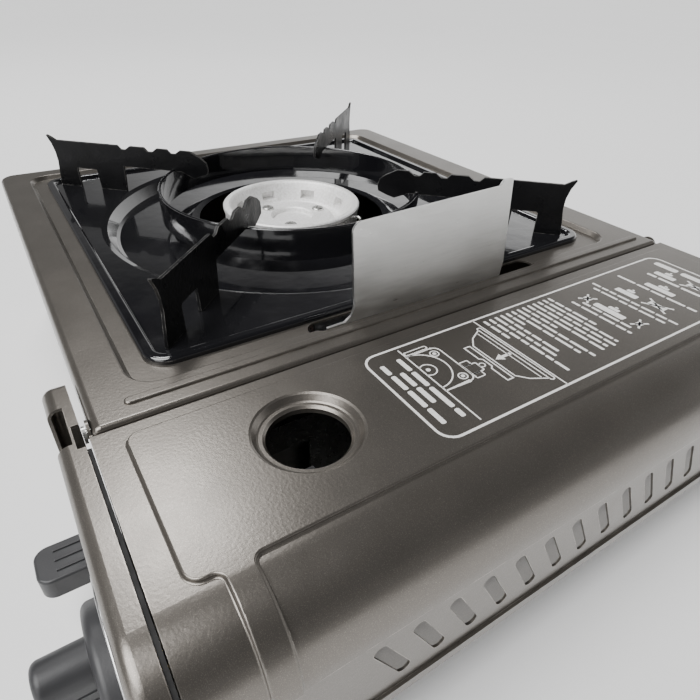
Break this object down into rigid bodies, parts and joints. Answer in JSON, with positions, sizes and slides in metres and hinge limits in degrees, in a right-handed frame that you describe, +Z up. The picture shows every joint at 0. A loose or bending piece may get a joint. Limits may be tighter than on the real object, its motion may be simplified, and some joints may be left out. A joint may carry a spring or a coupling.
{
  "type": "camping stove",
  "caption": "Portable single-burner gas stove with a steel case, lift-off pan support, hinged canister lid, lock lever and ignition knob.",
  "frame": {"origin": "on the floor, in the plane of the rubber soles, under the middle of the whole stove", "axes": "+X from the burner towards the canister bay, +Y from the control side towards the back, +Z up"},
  "size_m": [0.3322, 0.2868, 0.1258],
  "materials": {
    "body_paint": "satin",
    "base_paint": "satin",
    "enamel": "gloss",
    "guard_steel": "satin",
    "cast_burner": "cast",
    "plated_steel": "satin",
    "heat_plate": "satin",
    "zinc_casting": "cast",
    "brass": "machined",
    "pipe_metal": "satin",
    "fasteners": "satin",
    "spring_steel": "satin",
    "rubber_black": "matt",
    "handle_plastic": "matt",
    "bezel_metal": "satin",
    "igniter_plastic": "satin",
    "wire_insulation": "satin",
    "electrode_porcelain": "glazed"
  },
  "bodies": {
    "chassis": {"base_tray": "base_paint", "burner_bowl": "plated_steel", "burner_bracket": "plated_steel", "burner_flame_ring": "cast_burner", "burner_head": "cast_burner", "burner_screws": "fasteners", "canister_socket": "zinc_casting", "carriage_studs": "fasteners", "control_panel": "body_paint", "control_panel_screws": "fasteners", "cutout_spring": "spring_steel", "electrode_bracket": "plated_steel", "electrode_ceramic": "electrode_porcelain", "electrode_tip": "fasteners", "foot_back_left": "rubber_black", "foot_back_right": "rubber_black", "foot_front_left": "rubber_black", "foot_front_right": "rubber_black", "foot_screws": "fasteners", "gas_jet": "brass", "gas_pipe": "pipe_metal", "guard_partition": "guard_steel", "heat_plate": "heat_plate", "hinge_pins": "fasteners", "igniter_body": "igniter_plastic", "ignition_wire": "wire_insulation", "jet_bracket": "plated_steel", "knob_bezel": "bezel_metal", "lever_bracket": "plated_steel", "lever_pivot": "fasteners", "mixing_tube": "plated_steel", "notch_guide": "plated_steel", "pipe_nut": "brass", "regulator_body": "zinc_casting", "regulator_cover": "plated_steel", "regulator_diaphragm": "rubber_black", "regulator_screws": "fasteners", "regulator_spring": "spring_steel", "socket_seal": "rubber_black", "top_panel": "body_paint"},
    "lid": {"canister_lid": "body_paint"},
    "control": {"control_knob": "handle_plastic", "valve_spindle": "brass"},
    "lever": {"lock_lever": "plated_steel", "lever_grip": "handle_plastic"},
    "carriage": {"canister_carriage": "plated_steel", "carriage_follower": "fasteners"},
    "plunger": {"igniter_plunger": "igniter_plastic"},
    "cutout": {"cutout_pin": "brass"},
    "pan_tray": {"drip_pan": "enamel"},
    "pan_support": {"support_ring": "enamel", "support_arm_back_right": "enamel", "support_arm_back_left": "enamel", "support_arm_front_left": "enamel", "support_arm_front_right": "enamel"}
  },
  "joints": [
    {"name": "lid_hinge", "type": "hinge", "parent": "chassis", "child": "lid", "pos_m": [0.0811, 0.0127, 0.082], "axis": [0, -1, 0], "range_deg": [0, 95]},
    {"name": "knob_turn", "type": "hinge", "parent": "chassis", "child": "control", "pos_m": [0.1309, -0.1273, 0.045], "axis": [0, -1, 0], "range_deg": [0, 100]},
    {"name": "lever_swing", "type": "hinge", "parent": "chassis", "child": "lever", "pos_m": [0.0789, -0.0913, 0.042], "axis": [-1, 0, 0], "range_deg": [0, 55]},
    {"name": "carriage_slide", "type": "slide", "parent": "chassis", "child": "carriage", "axis": [0, 1, 0], "range_m": [0, 0.0106]},
    {"name": "plunger_push", "type": "slide", "parent": "chassis", "child": "plunger", "axis": [0, 1, 0], "range_m": [0, 0.004]},
    {"name": "cutout_press", "type": "slide", "parent": "chassis", "child": "cutout", "axis": [0, -1, 0], "range_m": [0, 0.003], "stiffness_N_per_m": 300, "deforming": ["cutout_spring"]},
    {"name": "pan_tray_lift", "type": "slide", "parent": "chassis", "child": "pan_tray", "axis": [0, 0, 1], "range_m": [0, 0.06]},
    {"name": "pan_support_lift", "type": "slide", "parent": "pan_tray", "child": "pan_support", "axis": [0, 0, 1], "range_m": [0, 0.05]}
  ],
  "couplings": [
    {"joint": "carriage_slide", "follows": "lever_swing", "m_per_rad": 0.011},
    {"joint": "plunger_push", "follows": "knob_turn", "m_per_rad": 0.00229}
  ]
}
